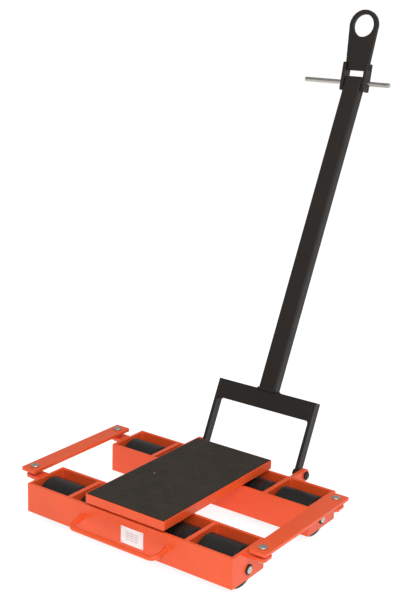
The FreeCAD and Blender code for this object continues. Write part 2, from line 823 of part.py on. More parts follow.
def drawbar_tube():
    body = hollow_bar("tube_body", "XY_Plane", TUBE_HALF, "(tube_depth / 2)",
                      CROSSBAR_TOP, f"tube_end - {CROSSBAR_TOP}")
    wall_middle = Vector(value("(tube_width - tube_wall) / 2"), value("(tube_depth - tube_wall) / 2"), 0)
    round_outer_edges(body, Vector(0, 0, 1), wall_middle.Length)
    span = (f"(-{TUBE_HALF} - tube_wall)", f"({TUBE_HALF} + tube_wall)")
    hole = cylinder("x", "rod_radius + hole_gap", span, ROD_CENTRE)
    return cut(body, hole)


def tube_cap():
    """A plug let into the tube's upper end above the rod."""
    inner_x, inner_y = f"({TUBE_HALF} - tube_wall)", "(tube_depth / 2 - tube_wall)"
    return group([block((f"-{inner_x}", inner_x), (f"-{inner_y}", inner_y),
                        ("(tube_end - cap_thickness)", "tube_end"))])


def grip_rod():
    """A plain bar through the drawbar's head, longer on the left."""
    low, high = "(-rod_length / 2 - rod_shift)", "(rod_length / 2 - rod_shift)"
    body = new_body("rod_body")
    profile = new_sketch(body, "XY_Plane")
    outline(profile, [(low, "0"), (high, "0"), (high, "rod_radius - rod_chamfer"),
                      (f"{high} - rod_chamfer", "rod_radius"), (f"{low} + rod_chamfer", "rod_radius"),
                      (low, "rod_radius - rod_chamfer")])
    revolved(body, profile)
    put(body, z="rod_station")
    return group([body])


named(on_drawbar(group(yoke_leg(side) for side in SIDES.values())), "yoke_legs")
named(on_drawbar(yoke_crossbar()), "yoke_crossbar")
named(on_drawbar(drawbar_tube()), "drawbar_tube")
named(on_drawbar(tube_cap()), "drawbar_tube_cap")
named(on_drawbar(grip_rod()), "grip_rod")


# ---------------------------------------------------------------- towing eye
# Drawn upright about the grip rod, which it swings on.
def on_rod(piece):
    y = f"({PIVOT_Y} + rod_station * cos(drawbar_angle * 1 deg))"
    z = f"({PIVOT_Z} + rod_station * sin(drawbar_angle * 1 deg))"
    return leaned(piece, y, z, "90 - drawbar_angle - eye_tilt")


def eye_plate():
    """A flat plate: a tongue between the cheeks, a neck that widens, and a ring at the end."""
    tongue, neck = f"({CHEEK_INNER} - hole_gap)", "(neck_width / 2)"
    shoulder = "(cheek_above + side_play)"

    def draw(sketch):
        outline(sketch, [
            (f"-{tongue}", "eye_start"), (tongue, "eye_start"), (tongue, shoulder), (neck, shoulder),
            ("eye_radius", "eye_centre"), ("-eye_radius", "eye_centre"),
            (f"-{neck}", shoulder), (f"-{tongue}", shoulder),
        ])
    body = plate("eye_body", "XZ_Plane", draw, "-eye_thickness / 2", "eye_thickness")
    span = ("(-eye_thickness / 2)", "(eye_thickness / 2)")
    ring = cylinder("y", "eye_radius", span, ("0", "eye_centre"))
    return cut(fused(body, ring), cylinder("y", "eye_bore", span, ("0", "eye_centre")))


def eye_cheek(side):
    def draw(sketch):
        half = "(cheek_depth / 2)"
        rectangle(sketch, (f"-{half}", half), ("-cheek_below", "cheek_above"))
        circle(sketch, "0", "0", "rod_radius + running_gap")
    start = CHEEK_INNER if side > 0 else f"-{CHEEK_OUTER}"
    body = plate("cheek_body", "YZ_Plane", draw, start, "cheek_thickness")
    across = Vector(1, 0, 0)
    dressed(body, "Fillet", edges_where(body.Shape, lambda e: runs_along(e, across)), "cheek_corner")
    return body


named(on_rod(eye_plate()), "towing_eye")
named(on_rod(group(eye_cheek(side) for side in SIDES.values())), "eye_cheeks")


# ---------------------------------------------------------------- check and export
doc.recompute()
for thing in doc.Objects:
    if "Invalid" in thing.State or "Error" in thing.State:
        raise RuntimeError(f"{thing.Label} failed: {thing.State}")
for part in parts:
    if part.Shape.isNull() or not part.Shape.isValid() or not part.Shape.Solids:
        raise RuntimeError(f"{part.Label} has no valid solid")
for part in parts:
    part.Shape.exportStep(os.path.join("parts", part.Label + ".step"))
print(len(parts), "sub-parts written")
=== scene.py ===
import json
import math
import random

import bmesh
import bpy
from mathutils import Matrix, Vector, noise


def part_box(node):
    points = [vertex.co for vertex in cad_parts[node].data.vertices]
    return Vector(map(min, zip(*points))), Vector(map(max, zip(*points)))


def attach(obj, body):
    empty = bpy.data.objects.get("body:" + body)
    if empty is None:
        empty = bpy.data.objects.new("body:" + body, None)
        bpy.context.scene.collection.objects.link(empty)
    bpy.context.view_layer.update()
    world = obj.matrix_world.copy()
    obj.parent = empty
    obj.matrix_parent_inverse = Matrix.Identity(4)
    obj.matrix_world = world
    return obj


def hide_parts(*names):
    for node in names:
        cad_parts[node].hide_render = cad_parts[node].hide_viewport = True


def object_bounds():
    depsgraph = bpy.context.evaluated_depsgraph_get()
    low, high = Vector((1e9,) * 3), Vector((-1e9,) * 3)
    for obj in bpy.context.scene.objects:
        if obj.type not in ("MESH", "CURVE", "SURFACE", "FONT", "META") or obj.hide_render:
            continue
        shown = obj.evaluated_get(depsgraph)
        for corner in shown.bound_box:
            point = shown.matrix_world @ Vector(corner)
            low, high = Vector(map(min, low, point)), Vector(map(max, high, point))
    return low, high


# The looks of a steerable machinery skate: enamelled roller bogies under a rubber-topped platform,
# with a black drawbar, a bright grip rod and a towing eye. Everything is in metres.

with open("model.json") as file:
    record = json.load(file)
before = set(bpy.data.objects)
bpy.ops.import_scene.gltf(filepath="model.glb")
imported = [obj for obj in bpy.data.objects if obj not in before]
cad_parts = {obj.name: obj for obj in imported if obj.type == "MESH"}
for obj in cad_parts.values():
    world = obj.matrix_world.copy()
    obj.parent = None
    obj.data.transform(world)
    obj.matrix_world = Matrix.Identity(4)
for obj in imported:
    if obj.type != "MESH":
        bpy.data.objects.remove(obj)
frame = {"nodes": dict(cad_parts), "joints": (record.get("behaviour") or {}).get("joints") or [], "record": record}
cad_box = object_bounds()
NODES = frame["nodes"]
RECORD = frame["record"]
MM = 0.001
CHANCE = random.Random(7)
BOGIES = ("front", "rear")
SIDES = ("left", "right")
BAYS = ("outer", "inner")


# ---------------------------------------------------------------- camera, floor and light
CAMERA_PLACE = Vector((1.5483, -2.1020, 1.1762))
CAMERA_HEADING = 35.25
CAMERA_DIP = 15.46
CAMERA_ROLL = 1.82
LENS_MM = 45.59
SENSOR_MM = 24.0


def make_camera():
    data = bpy.data.cameras.new("camera")
    data.sensor_fit = "VERTICAL"
    data.sensor_height = SENSOR_MM
    data.lens = LENS_MM
    camera = bpy.data.objects.new("camera", data)
    heading = Matrix.Rotation(math.radians(CAMERA_HEADING), 4, "Z")
    dip = Matrix.Rotation(math.radians(90 - CAMERA_DIP), 4, "X")
    roll = Matrix.Rotation(math.radians(CAMERA_ROLL), 4, "Z")
    camera.matrix_world = Matrix.Translation(CAMERA_PLACE) @ heading @ dip @ roll
    bpy.context.scene.collection.objects.link(camera)
    bpy.context.scene.camera = camera


WHITE = (1.0, 1.0, 1.0, 1.0)
FLOOR_REACH = 40.0
FLOOR_GREY = (0.42, 0.42, 0.42, 1.0)
FLOOR_ROUGHNESS = 0.9
FLOOR_GLOW = 0.85
STUDIO_SEEN = 1.05
STUDIO_LIGHTING = 0.44
# Each lamp's place, the width of its disk and its power in watts.
KEY_LIGHT = ((2.2, -2.6, 2.2), 2.0, 75)
TOP_LIGHT = ((0.9, -0.4, 3.8), 2.2, 47)


def make_floor():
    """A pale floor that carries on into the white surroundings."""
    mesh = bpy.data.meshes.new("floor")
    square = ((-1, -1), (1, -1), (1, 1), (-1, 1))
    corners = [(x * FLOOR_REACH, y * FLOOR_REACH, cad_box[0].z) for x, y in square]
    mesh.from_pydata(corners, [], [(0, 1, 2, 3)])
    floor = bpy.data.objects.new("floor", mesh)
    bpy.context.scene.collection.objects.link(floor)
    material = bpy.data.materials.new("studio_floor")
    material.use_nodes = True
    surface = material.node_tree.nodes["Principled BSDF"]
    surface.inputs["Base Color"].default_value = FLOOR_GREY
    surface.inputs["Roughness"].default_value = FLOOR_ROUGHNESS
    surface.inputs["Specular IOR Level"].default_value = 0.0
    surface.inputs["Emission Color"].default_value = WHITE
    surface.inputs["Emission Strength"].default_value = FLOOR_GLOW
    mesh.materials.append(material)


def soft_light(name, place, size, watts):
    """A round soft lamp that shines at the middle of the load face."""
    data = bpy.data.lights.new(name, "AREA")
    data.shape = "DISK"
    data.size = size
    data.energy = watts
    light = bpy.data.objects.new(name, data)
    turn = (-Vector(place)).to_track_quat("-Z", "Y").to_matrix().to_4x4()
    light.matrix_world = Matrix.Translation(place) @ turn
    bpy.context.scene.collection.objects.link(light)


def make_surroundings():
    """White surroundings, which look brighter than the light that they give."""
    world = bpy.data.worlds.new("studio")
    bpy.context.scene.world = world
    world.use_nodes = True
    tree = world.node_tree
    seen = tree.nodes.new("ShaderNodeBackground")
    lighting = tree.nodes["Background"]
    for background, strength in ((seen, STUDIO_SEEN), (lighting, STUDIO_LIGHTING)):
        background.inputs["Color"].default_value = WHITE
        background.inputs["Strength"].default_value = strength
    chooser = tree.nodes.new("ShaderNodeMixShader")
    path = tree.nodes.new("ShaderNodeLightPath")
    tree.links.new(path.outputs["Is Camera Ray"], chooser.inputs["Fac"])
    tree.links.new(lighting.outputs["Background"], chooser.inputs[1])
    tree.links.new(seen.outputs["Background"], chooser.inputs[2])
    tree.links.new(chooser.outputs["Shader"], tree.nodes["World Output"].inputs["Surface"])


def make_light():
    make_surroundings()
    soft_light("key_light", *KEY_LIGHT)
    soft_light("top_light", *TOP_LIGHT)
    bpy.context.scene.view_settings.view_transform = "Standard"


# ---------------------------------------------------------------- shader building
class Shader:
    """A node material and the few calls that its recipes need."""

    def __init__(self, name):
        self.material = bpy.data.materials.new(name)
        self.material.use_nodes = True
        self.tree = self.material.node_tree
        self.surface = self.tree.nodes["Principled BSDF"]
        self.place = self.node("TexCoord").outputs["Object"]

    def node(self, kind, **settings):
        made = self.tree.nodes.new("ShaderNode" + kind)
        for key, setting in settings.items():
            setattr(made, key, setting)
        return made

    def feed(self, socket, source):
        if isinstance(source, bpy.types.NodeSocket):
            self.tree.links.new(source, socket)
        else:
            socket.default_value = source

    def stretched(self, scale):
        """The object's own coordinates, scaled along each axis."""
        mapping = self.node("Mapping")
        self.feed(mapping.inputs["Vector"], self.place)
        mapping.inputs["Scale"].default_value = scale
        return mapping.outputs["Vector"]

    def noise(self, scale, detail=3.0, roughness=0.55, vector=None):
        made = self.node("TexNoise")
        self.feed(made.inputs["Vector"], vector or self.place)
        made.inputs["Scale"].default_value = scale
        made.inputs["Detail"].default_value = detail
        made.inputs["Roughness"].default_value = roughness
        return made.outputs["Fac"]

    def spots(self, scale):
        """Distance from scattered points, for grains and pits."""
        made = self.node("TexVoronoi")
        self.feed(made.inputs["Vector"], self.place)
        made.inputs["Scale"].default_value = scale
        return made.outputs["Distance"]

    def remap(self, source, low, high, to_low=0.0, to_high=1.0):
        made = self.node("MapRange")
        for key, setting in (("Value", source), ("From Min", low), ("From Max", high),
                             ("To Min", to_low), ("To Max", to_high)):
            self.feed(made.inputs[key], setting)
        return made.outputs["Result"]

    def math(self, operation, first, second=0.0):
        made = self.node("Math", operation=operation)
        self.feed(made.inputs[0], first)
        self.feed(made.inputs[1], second)
        return made.outputs[0]

    def blend(self, factor, first, second):
        made = self.node("MixRGB")
        self.feed(made.inputs["Fac"], factor)
        self.feed(made.inputs["Color1"], first)
        self.feed(made.inputs["Color2"], second)
        return made.outputs["Color"]

    def edges(self, width):
        """One on sharp outer edges, fading to nothing on flat faces."""
        rounded = self.node("Bevel", samples=4)
        rounded.inputs["Radius"].default_value = width
        flat = self.node("NewGeometry").outputs["Normal"]
        likeness = self.node("VectorMath", operation="DOT_PRODUCT")
        self.feed(likeness.inputs[0], rounded.outputs["Normal"])
        self.feed(likeness.inputs[1], flat)
        all_flat, all_edge = 0.985, 0.86
        return self.remap(likeness.outputs["Value"], all_flat, all_edge)

    def bump(self, height, distance, strength=1.0, base=None):
        made = self.node("Bump")
        made.inputs["Strength"].default_value = strength
        made.inputs["Distance"].default_value = distance
        self.feed(made.inputs["Height"], height)
        if base is not None:
            self.feed(made.inputs["Normal"], base)
        return made.outputs["Normal"]

    def finish(self, colour, roughness, normal, **constants):
        self.feed(self.surface.inputs["Base Color"], colour)
        self.feed(self.surface.inputs["Roughness"], roughness)
        self.feed(self.surface.inputs["Normal"], normal)
        for key, setting in constants.items():
            self.surface.inputs[key.replace("_", " ")].default_value = setting
        return self.material


def tint(colour, gain):
    return tuple(min(1.0, c * gain) for c in colour) + (1.0,)


# Width of the edge mask that carries both the painted edge highlight and the paint chips.
EDGE_HIGHLIGHT_AND_CHIP_WIDTH = 1.6 * MM


def enamel(name, colour, worn, roughness, edge_highlight_gain, **gloss_settings):
    """Sprayed gloss paint: a little uneven, orange-peeled, with a painted highlight along its edges and chips
    where the edges are rubbed through.
    """
    s = Shader(name)
    cloudy = s.remap(s.noise(7, 4), 0.3, 0.7)
    flecked = s.remap(s.noise(160, 3), 0.35, 0.65)
    clouded = s.blend(cloudy, tint(colour, 0.93), tint(colour, 1.05))
    speckled = s.blend(s.math("MULTIPLY", flecked, 0.10), clouded, tint(colour, 0.80))
    edge = s.edges(EDGE_HIGHLIGHT_AND_CHIP_WIDTH)
    # Painted highlight: the edges are lightened by the gain, standing in for light caught on the rounded edges.
    painted_edge_highlight = s.blend(s.math("MULTIPLY", edge, 0.5), speckled, tint(colour, edge_highlight_gain))
    # Real wear: chips through the paint on the edges.
    chips = s.math("MULTIPLY", edge, s.remap(s.noise(210, 5, 0.7), 0.60, 0.66))
    chipped = s.blend(chips, painted_edge_highlight, tint(worn, 1.0))
    scuffs = s.remap(s.noise(1.0, 6, 0.7, s.stretched((30, 260, 90))), 0.60, 0.72)
    gloss = s.remap(s.math("ADD", s.noise(25, 5), s.math("MULTIPLY", scuffs, 0.4)), 0.3, 1.0,
                    roughness - 0.07, roughness + 0.16)
    peel = s.bump(s.noise(420, 2), 0.25 * MM, 0.35)
    dented = s.bump(s.noise(18, 2), 0.9 * MM, 0.25, peel)
    return s.finish(chipped, gloss, dented, **gloss_settings)


def pad_rubber(name):
    """Black sheet rubber with a fine grain, handling dust and one pale rub mark."""
    dark, light = (0.024, 0.0185, 0.013, 1), (0.039, 0.030, 0.022, 1)
    dust, scratch, rub = (0.085, 0.074, 0.063, 1), (0.12, 0.108, 0.095, 1), (0.32, 0.31, 0.28, 1)
    s = Shader(name)
    mottled = s.remap(s.noise(16, 6, 0.65), 0.3, 0.75)
    colour = s.blend(mottled, dark, light)
    dusty = s.remap(s.noise(70, 6, 0.75), 0.56, 0.75, 0.0, 0.22)
    colour = s.blend(dusty, colour, dust)
    scuff = s.remap(s.noise(1.0, 5, 0.75, s.stretched((140, 22, 60))), 0.64, 0.72, 0.0, 0.16)
    colour = s.blend(scuff, colour, scratch)
    spot = s.node("VectorMath", operation="DISTANCE")
    s.feed(spot.inputs[0], s.place)
    spot.inputs[1].default_value = RUB_MARK
    rubbed = s.remap(spot.outputs["Value"], 3.4 * MM, 1.6 * MM, 0.0, 0.75)
    colour = s.blend(rubbed, colour, rub)
    grain = s.bump(s.spots(700), 0.18 * MM, 0.6)
    sheet = s.bump(s.noise(28, 3), 0.7 * MM, 0.35, grain)
    roughness = s.remap(s.noise(45, 5), 0.3, 0.7, 0.62, 0.82)
    return s.finish(colour, roughness, sheet, Specular_IOR_Level=0.16, Sheen_Weight=0.03)


def roller_nylon(name):
    """Turned black polyamide: fine rings round the roller and a polished running track."""
    dark, light, nick = (0.006, 0.0055, 0.005, 1), (0.015, 0.0135, 0.012, 1), (0.09, 0.085, 0.08, 1)
    s = Shader(name)
    rings = s.noise(1.0, 4, 0.7, s.stretched((2600, 3, 3)))
    track = s.noise(1.0, 3, 0.6, s.stretched((120, 14, 14)))
    colour = s.blend(s.remap(track, 0.35, 0.7), dark, light)
    nicks = s.remap(s.spots(330), 0.05, 0.16, 1.0, 0.0)
    speckled = s.math("MULTIPLY", nicks, s.remap(s.noise(30, 3), 0.58, 0.7, 0.0, 0.6))
    colour = s.blend(speckled, colour, nick)
    roughness = s.remap(track, 0.3, 0.75, 0.30, 0.46)
    turned = s.bump(rings, 0.10 * MM, 0.55)
    nicked = s.bump(s.math("SUBTRACT", 1.0, speckled), 0.2 * MM, 0.4, turned)
    return s.finish(colour, roughness, nicked, Specular_IOR_Level=0.30)


def plated_steel(name, colour, roughness, grain):
    """Plated or turned steel: streaked by the tool, with duller patches where it is handled."""
    s = Shader(name)
    patch = s.remap(s.noise(60, 5, 0.7), 0.35, 0.7)
    dull = s.blend(patch, tint(colour, 0.80), tint(colour, 1.06))
    stain = s.remap(s.noise(240, 4, 0.7), 0.60, 0.74, 0.0, 0.35)
    tinted = s.blend(stain, dull, tint(colour, 0.60))
    streak = s.noise(1.0, 4, 0.7, s.stretched(grain))
    gloss = s.remap(s.math("ADD", streak, s.math("MULTIPLY", patch, 0.3)), 0.3, 1.0,
                    roughness - 0.08, roughness + 0.15)
    lines = s.bump(streak, 0.05 * MM, 0.5)
    return s.finish(tinted, gloss, lines, Metallic=1.0)


def greased_bronze(name):
    """Turned bronze under a patchy film of dark grease."""
    bronze, grease = (0.42, 0.26, 0.10, 1), (0.10, 0.07, 0.035, 1)
    s = Shader(name)
    film = s.remap(s.noise(55, 5, 0.7), 0.4, 0.65)
    colour = s.blend(film, bronze, grease)
    rings = s.bump(s.noise(1.0, 3, 0.6, s.stretched((300, 300, 1500))), 0.06 * MM, 0.5)
    return s.finish(colour, s.remap(film, 0.0, 1.0, 0.34, 0.16), rings, Metallic=0.85)


def seal_rubber(name):
    """The moulded lip seals of the bearings, with a film of grease and grit."""
    rubber, dirt = (0.012, 0.011, 0.011, 1), (0.065, 0.052, 0.04, 1)
    s = Shader(name)
    grit = s.remap(s.noise(380, 5, 0.75), 0.52, 0.68)
    colour = s.blend(s.math("MULTIPLY", grit, 0.5), rubber, dirt)
    roughness = s.remap(s.noise(120, 3), 0.3, 0.7, 0.36, 0.58)
    return s.finish(colour, roughness, s.bump(s.noise(600, 3), 0.08 * MM, 0.5))


def plate_white(name, shade):
    """A printed plate: nearly even, with a soft sheen and a trace of handling."""
    s = Shader(name)
    smudge = s.remap(s.noise(60, 5, 0.7), 0.35, 0.75)
    colour = s.blend(smudge, tint(shade, 1.0), tint(shade, 0.93))
    roughness = s.remap(s.noise(150, 4), 0.3, 0.7, 0.30, 0.44)
    return s.finish(colour, roughness, s.bump(s.noise(380, 3), 0.05 * MM, 0.4), Coat_Weight=0.2)


pad_low, pad_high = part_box("rubber_pad")
RUB_MARK = (pad_low.x * 0.547, pad_low.y * 0.141, pad_high.z)
ORANGE, ORANGE_CHIP = (0.81, 0.092, 0.020), (0.30, 0.27, 0.24)
BLACK, BLACK_CHIP = (0.018, 0.0145, 0.012), (0.14, 0.125, 0.11)

FINISH = {
    # Each enamel's fifth number is the strength of its painted edge highlight.
    "orange_paint": enamel("orange_enamel", ORANGE, ORANGE_CHIP, 0.36, 1.22,
                           Specular_IOR_Level=0.34, Coat_Weight=0.06, Coat_Roughness=0.2),
    "black_paint": enamel("black_enamel", BLACK, BLACK_CHIP, 0.44, 2.6, Specular_IOR_Level=0.22),
    "pad_rubber": pad_rubber("pad_rubber"),
    "roller_nylon": roller_nylon("roller_nylon"),
    "zinc_steel": plated_steel("zinc_plate", (0.58, 0.555, 0.50), 0.36, (500, 500, 500)),
    "bright_rod": plated_steel("bright_bar", (0.50, 0.475, 0.44), 0.18, (14, 1500, 1500)),
    "bearing_steel": plated_steel("ground_steel", (0.56, 0.57, 0.58), 0.22, (1800, 60, 60)),
    "bronze": greased_bronze("greased_bronze"),
    "label_white": plate_white("plate_white", (0.84, 0.80, 0.79)),
}
SEAL = seal_rubber("seal_rubber")
FIELD_GREY = plate_white("plate_field", (0.62, 0.53, 0.54))


# ---------------------------------------------------------------- the CAD pieces' finish and edges
EDGE_WIDTH = {"towing_eye": 1.8 * MM, "eye_cheeks": 1.0 * MM, "yoke_legs": 1.2 * MM, "grip_rod": 0.3 * MM,
              "rubber_pad": 0.7 * MM, "rating_plate": 0.3 * MM, "load_platform": 0.8 * MM}
USUAL_EDGE = 0.8 * MM
ALREADY_ROUND = ("carry_handle",)
JOIN_GAP = 0.01 * MM
EDGE_STEPS = 3
AREA_WEIGHT = 80
SHARP_ANGLE = math.radians(32)
FLAT_ANGLE = math.radians(0.6)


def join_edges(piece):
    """Joins the faces along the edges that they share."""
    weld = piece.modifiers.new("join", "WELD")
    weld.merge_threshold = JOIN_GAP


def soften(piece, width):
    """Makes each flat face one, rounds the edges a little and keeps the faces' shading flat."""
    flat = piece.modifiers.new("flat", "DECIMATE")
    flat.decimate_type = "DISSOLVE"
    flat.angle_limit = FLAT_ANGLE
    bevel = piece.modifiers.new("edge", "BEVEL")
    bevel.width = width
    bevel.segments = EDGE_STEPS
    bevel.limit_method = "ANGLE"
    bevel.angle_limit = SHARP_ANGLE
    shading = piece.modifiers.new("shading", "WEIGHTED_NORMAL")
    shading.mode = "FACE_AREA"
    shading.weight = AREA_WEIGHT


def dress_nodes():
    for part in RECORD["subparts"]:
        node = part["node"]
        piece = NODES[node]
        piece.data.materials.clear()
        piece.data.materials.append(FINISH[part["material_slot"]])
        join_edges(piece)
        if node not in ALREADY_ROUND:
            soften(piece, EDGE_WIDTH.get(node, USUAL_EDGE))


# ---------------------------------------------------------------- measuring the frame
def solids(node):
    """The low and high corner of each separate solid of a node, ordered along X, then Y, then Z."""
    bm = bmesh.new()
    bm.from_mesh(NODES[node].data)
    bmesh.ops.remove_doubles(bm, verts=bm.verts, dist=JOIN_GAP)
    left = set(bm.verts)
    boxes = []
    while left:
        reached = [left.pop()]
        found = list(reached)
        while reached:
            for edge in reached.pop().link_edges:
                for vert in edge.verts:
                    if vert in left:
                        left.remove(vert)
                        reached.append(vert)
                        found.append(vert)
        low = Vector([min(v.co[a] for v in found) for a in range(3)])
        high = Vector([max(v.co[a] for v in found) for a in range(3)])
        boxes.append((low, high))
    bm.free()
    return sorted(boxes, key=lambda b: tuple(round(c, 4) for c in b[0]))


def box_in(matrix, node):
    """A node's low and high corner in a frame of its own."""
    inverse = matrix.inverted()
    spots = [inverse @ v.co for v in NODES[node].data.vertices]
    return (Vector([min(p[a] for p in spots) for a in range(3)]),
            Vector([max(p[a] for p in spots) for a in range(3)]))


def middle(box):
    return (box[0] + box[1]) / 2


def standing(origin, up, across=Vector((1, 0, 0))):
    """A frame at origin with its Z along up and its X along across."""
    z = up.normalized()
    y = z.cross(across).normalized()
    x = y.cross(z)
    turn = Matrix((x, y, z)).transposed().to_4x4()
    return Matrix.Translation(origin) @ turn


# ---------------------------------------------------------------- mesh building
SMOOTH_ANGLE = math.radians(38)
TURNING_STEPS = 56
THIN_TURNING_STEPS = 40


def make_piece(name, bm, materials, body):
    """Turns a built mesh into a piece that rides on a body."""
    bmesh.ops.recalc_face_normals(bm, faces=bm.faces)
    mesh = bpy.data.meshes.new(name)
    bm.to_mesh(mesh)
    bm.free()
    for material in materials:
        mesh.materials.append(material)
    piece = bpy.data.objects.new(name, mesh)
    bpy.context.scene.collection.objects.link(piece)
    mesh.shade_smooth()
    mesh.set_sharp_from_angle(angle=SMOOTH_ANGLE)
    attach(piece, body)
    return piece


def replace_node(node, bm, body, slot, more_materials=()):
    """A detailed piece that stands for a CAD node, in its slot's finish."""
    piece = make_piece(f"{node}_detailed", bm, [FINISH[slot], *more_materials], body)
    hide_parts(node)


def around(matrix, radius, angle, height):
    """The point at a radius, angle and height about a frame's Z."""
    return matrix @ Vector((radius * math.cos(angle), radius * math.sin(angle), height))


def skin(bm, rings, material=0):
    """Faces between one closed ring of vertices and the next."""
    for ring, following in zip(rings, rings[1:]):
        count = len(ring)
        for i in range(count):
            j = (i + 1) % count
            face = bm.faces.new((ring[i], ring[j], following[j], following[i]))
            face.material_index = material


def turn_profile(bm, profile, matrix, segments=TURNING_STEPS, closed=True, material=0):
    """Turns (radius, height) points about a frame's Z. A closed profile makes a ring or washer."""
    rings = []
    for radius, height in profile:
        ring = []
        for i in range(segments):
            ring.append(bm.verts.new(around(matrix, radius, math.tau * i / segments, height)))
        rings.append(ring)
    if closed:
        rings.append(rings[0])
    skin(bm, rings, material=material)
    return rings


def cap_ends(bm, rings):
    """Closes the first and the last ring with a flat face."""
    bm.faces.new(list(reversed(rings[0])))
    bm.faces.new(rings[-1])


def solid_turning(bm, profile, matrix, segments=TURNING_STEPS):
    """A turned solid whose two ends are closed flat."""
    rings = turn_profile(bm, profile, matrix, segments, closed=False)
    cap_ends(bm, rings)


HEX_STEPS = 72
HEX_CHAMFER = math.radians(28)
HEX_SHOULDER = 0.97


def chamfered_hexagon(bm, radius, low, high, matrix, bore=0.0, ends=(True, True)):
    """A bolt head or nut: six flats whose corners are turned off in a cone at the chosen ends."""
    slope = math.tan(HEX_CHAMFER)
    shoulder = radius * math.cos(math.pi / 6) * HEX_SHOULDER

    def corner_radius(angle):
        within = (angle % (math.pi / 3)) - math.pi / 6
        return radius * math.cos(math.pi / 6) / math.cos(within)

    def ring(reach, height):
        angles = [math.tau * i / HEX_STEPS for i in range(HEX_STEPS)]
        return [bm.verts.new(around(matrix, reach(angle), angle, height(angle))) for angle in angles]

    def drop(angle):
        return (corner_radius(angle) - shoulder) * slope

    rings = []
    if ends[0]:
        rings.append(ring(lambda a: shoulder, lambda a: low))
        rings.append(ring(corner_radius, lambda a: low + drop(a)))
    else:
        rings.append(ring(corner_radius, lambda a: low))
    if ends[1]:
        rings.append(ring(corner_radius, lambda a: high - drop(a)))
        rings.append(ring(lambda a: shoulder, lambda a: high))
    else:
        rings.append(ring(corner_radius, lambda a: high))
    if bore:
        rings.append(ring(lambda a: bore, lambda a: high))
        rings.append(ring(lambda a: bore, lambda a: low))
        rings.append(rings[0])
        skin(bm, rings)
    else:
        skin(bm, rings)
        cap_ends(bm, rings)


THREAD_STEPS = 40
THREAD_DEPTH = 0.6
THREAD_JOIN = 0.002 * MM


def screw_thread(bm, radius, pitch, low, high, matrix):
    """A rolled thread: crests and roots that climb one pitch in each turn."""
    depth = THREAD_DEPTH * pitch
    turns = (high - low) / pitch
    rows = []
    for row in range(int(2 * turns) + 3):
        ring = []
        for i in range(THREAD_STEPS):
            height = low + (row / 2 - 1 + i / THREAD_STEPS) * pitch
            held = min(max(height, low), high)
            crest = radius if row % 2 else radius - depth
            taper = min(1.0, (high - held) / pitch, (held - low) / pitch) if low < held < high else 0.0
            reach = radius - depth + (crest - radius + depth) * taper
            ring.append(bm.verts.new(around(matrix, reach, math.tau * i / THREAD_STEPS, held)))
        rows.append(ring)
    for ring, following in zip(rows, rows[1:]):
        for i in range(THREAD_STEPS - 1):
            bm.faces.new((ring[i], ring[i + 1], following[i + 1], following[i]))
    for lower, upper, top in zip(rows, rows[1:], rows[2:]):
        bm.faces.new((lower[-1], upper[0], top[0], upper[-1]))
    bmesh.ops.remove_doubles(bm, verts=bm.verts, dist=THREAD_JOIN)


# A weld bead's rings and ripples, in its own radii, and how its size varies.
BEAD_SPACING = 0.30
BEAD_RIPPLE = 1.15
BEAD_BASE = 0.84
BEAD_SWELL = 0.20
BEAD_WOBBLE = 0.16
BEAD_WOBBLE_STEP = 0.21
BEAD_SIDES = 12
BEAD_TIP = 0.04
NOISE_SPAN = 10


def bead(bm, path, radius, closed=False):
    """A run of weld along a path: overlapping ripples, and ends that die away."""
    spacing = radius * BEAD_SPACING
    pitch = radius * BEAD_RIPPLE
    spots = []
    points = path + path[:1] if closed else path
    for start, end in zip(points, points[1:]):
        count = max(2, round((end - start).length / spacing))
        spots += [start.lerp(end, i / count) for i in range(count)]
    if not closed:
        spots.append(points[-1])
    total = len(spots)
    shift = CHANCE.random() * NOISE_SPAN
    rings = []
    for i, spot in enumerate(spots):
        ahead = spots[(i + 1) % total] if closed or i + 1 < total else spot
        behind = spots[i - 1] if closed or i else spot
        along = (ahead - behind).normalized()
        side = along.orthogonal().normalized()
        other = along.cross(side)
        ripple = 1 - ((i * spacing / pitch) % 1.0) ** 2
        wobble = noise.noise(Vector((i * BEAD_WOBBLE_STEP, shift, 0))) * BEAD_WOBBLE
        size = radius * (BEAD_BASE + BEAD_SWELL * ripple + wobble)
        if not closed:
            from_end = min(i, total - 1 - i) * spacing / radius
            size *= math.sqrt(max(BEAD_TIP, 1 - max(0.0, 1 - from_end) ** 2))
        ring = []
        for k in range(BEAD_SIDES):
            angle = math.tau * k / BEAD_SIDES
            ring.append(bm.verts.new(spot + (side * math.cos(angle) + other * math.sin(angle)) * size))
        rings.append(ring)
    if closed:
        rings.append(rings[0])
        skin(bm, rings)
    else:
        skin(bm, rings)
        cap_ends(bm, rings)


ELLIPSE_STEPS = 40


def ellipse_path(centre, first, second, radius_one, radius_two):
    """Points round an ellipse in the plane of two directions."""
    angles = [math.tau * i / ELLIPSE_STEPS for i in range(ELLIPSE_STEPS)]
    return [centre + first * radius_one * math.cos(a) + second * radius_two * math.sin(a) for a in angles]


# ---------------------------------------------------------------- welds of the bogies
X, Y, Z = Vector((1, 0, 0)), Vector((0, 1, 0)), Vector((0, 0, 1))
WELD = {"box": 2.6 * MM, "bracket": 3.0 * MM, "ear": 3.4 * MM, "handle": 2.8 * MM,
        "yoke": 2.6 * MM, "yoke_end": 5.5 * MM, "tube": 3.6 * MM, "eye": 2.6 * MM}
FOOT_MARGIN = 1.0 * MM
WALL_TOLERANCE = 0.05 * MM


